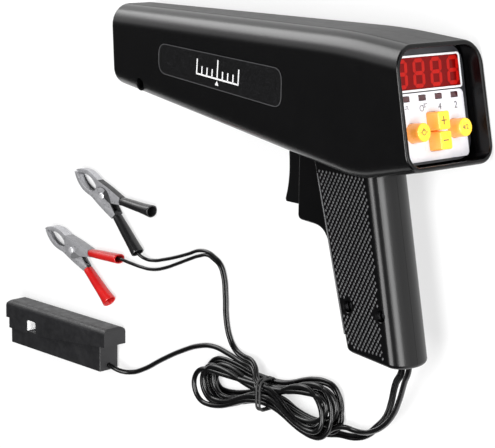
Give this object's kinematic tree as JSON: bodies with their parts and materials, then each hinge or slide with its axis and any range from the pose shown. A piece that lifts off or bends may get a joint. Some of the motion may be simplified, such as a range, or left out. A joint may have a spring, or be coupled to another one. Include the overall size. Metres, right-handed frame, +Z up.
{
  "type": "timing light",
  "caption": "Pistol-shaped strobe timing light with digital rear display, trigger, battery clips and inductive pickup on bundled leads.",
  "frame": {"origin": "bottom centre of the box around the light lying on its right side, without its free leads, clips and pickup", "axes": "+X towards the rear display, -X along the beam, +Y towards the top of the barrel, -Y down the handle, +Z up, out of the left side"},
  "size_m": [0.4029, 0.2454, 0.0649],
  "materials": {
    "housing_black": "black moulded plastic, fine satin texture, polished on the broad faces",
    "label_inlay": "finely speckled dark inlay with a thin pale outline",
    "screw_steel": "zinc-plated cross-head screws",
    "lens_clear": "clear condenser lens",
    "reflector_bright": "bright metallised reflector",
    "tube_glass": "clear flash tube",
    "component_plastic": "moulded component bodies",
    "circuit_board": "green solder-resisted board",
    "ferrite_core": "ground ferrite",
    "display_red": "deep red clear plastic",
    "face_silver": "pale silver printed face plate",
    "button_amber": "amber moulded buttons with yellow faces",
    "spring_steel": "spring wire",
    "rubber_black": "black rubber",
    "cable_black": "black flexible PVC, soft gloss",
    "cable_red": "red flexible PVC, soft gloss",
    "clip_steel": "nickel-plated pressed steel",
    "sleeve_black": "glossy dipped PVC",
    "sleeve_red": "glossy dipped PVC",
    "pickup_black": "satin black moulded plastic"
  },
  "bodies": {
    "root": {"housing_left": "housing_black", "housing_right": "housing_black", "lens_bezel": "housing_black", "panel_frame": "housing_black", "side_label_left": "label_inlay", "side_label_right": "label_inlay", "screw_muzzle": "screw_steel", "screw_grip_front": "screw_steel", "screw_grip_rear": "screw_steel", "lens": "lens_clear", "reflector": "reflector_bright", "xenon_tube": "tube_glass", "tube_socket": "component_plastic", "storage_capacitor": "component_plastic", "trigger_coil": "component_plastic", "display_module": "component_plastic", "micro_switch": "component_plastic", "main_board": "circuit_board", "control_board": "circuit_board", "transformer": "ferrite_core", "display_window": "display_red", "indicator_1": "display_red", "indicator_2": "display_red", "indicator_3": "display_red", "indicator_4": "display_red", "face_plate": "face_silver", "trigger_spring": "spring_steel", "pickup_spring": "spring_steel", "black_clip_spring": "spring_steel", "red_clip_spring": "spring_steel", "cable_gland": "rubber_black", "hank_tie": "rubber_black", "power_lead_upper": "cable_black", "pickup_lead_upper": "cable_black", "power_lead_lower": "cable_black", "pickup_lead_lower": "cable_black", "clip_wire_black": "cable_black", "cable_hank": "cable_black", "clip_wire_red": "cable_red", "black_clip_jaw_fixed": "clip_steel", "red_clip_jaw_fixed": "clip_steel", "black_clip_rivet": "clip_steel", "red_clip_rivet": "clip_steel", "pickup_pin": "clip_steel", "black_clip_sleeve_fixed": "sleeve_black", "red_clip_sleeve_fixed": "sleeve_red", "pickup_body": "pickup_black", "pickup_ferrite_lower": "ferrite_core"},
    "trigger": {"trigger": "housing_black"},
    "button_left": {"button_left": "button_amber"},
    "button_plus": {"button_plus": "button_amber"},
    "button_minus": {"button_minus": "button_amber"},
    "button_right": {"button_right": "button_amber"},
    "black_clip_arm": {"black_clip_jaw_moving": "clip_steel", "black_clip_sleeve_moving": "sleeve_black"},
    "red_clip_arm": {"red_clip_jaw_moving": "clip_steel", "red_clip_sleeve_moving": "sleeve_red"},
    "pickup_cover": {"pickup_cover": "pickup_black", "pickup_ferrite_upper": "ferrite_core"}
  },
  "joints": [
    {"name": "trigger_slide", "type": "slide", "parent": "root", "child": "trigger", "axis": [0.999, 0, 0.0449], "range_m": [0, 0.005], "stiffness_N_per_m": 300, "springref_m": -0.005, "deforming": ["trigger_spring"]},
    {"name": "button_left_press", "type": "slide", "parent": "root", "child": "button_left", "axis": [-0.9796, -0.1961, -0.044], "range_m": [0, 0.0008], "stiffness_N_per_m": 800, "springref_m": -0.001},
    {"name": "button_plus_press", "type": "slide", "parent": "root", "child": "button_plus", "axis": [-0.9796, -0.1961, -0.044], "range_m": [0, 0.0008], "stiffness_N_per_m": 800, "springref_m": -0.001},
    {"name": "button_minus_press", "type": "slide", "parent": "root", "child": "button_minus", "axis": [-0.9796, -0.1961, -0.044], "range_m": [0, 0.0008], "stiffness_N_per_m": 800, "springref_m": -0.001},
    {"name": "button_right_press", "type": "slide", "parent": "root", "child": "button_right", "axis": [-0.9796, -0.1961, -0.044], "range_m": [0, 0.0008], "stiffness_N_per_m": 800, "springref_m": -0.001},
    {"name": "black_clip_hinge", "type": "hinge", "parent": "root", "child": "black_clip_arm", "pos_m": [-0.181, -0.041, 0.0045], "axis": [0, 0, -1], "range_deg": [0, 22], "stiffness_Nm_per_rad": 0.6, "springref_deg": -28.65},
    {"name": "red_clip_hinge", "type": "hinge", "parent": "root", "child": "red_clip_arm", "pos_m": [-0.213, -0.0825, 0.0045], "axis": [0, 0, 1], "range_deg": [0, 22], "stiffness_Nm_per_rad": 0.6, "springref_deg": -28.65},
    {"name": "pickup_hinge", "type": "hinge", "parent": "root", "child": "pickup_cover", "pos_m": [-0.2175, -0.1396, 0.009], "axis": [0, 0, -1], "range_deg": [0, 12], "stiffness_Nm_per_rad": 0.8, "springref_deg": -20.05, "deforming": ["pickup_spring"]}
  ]
}
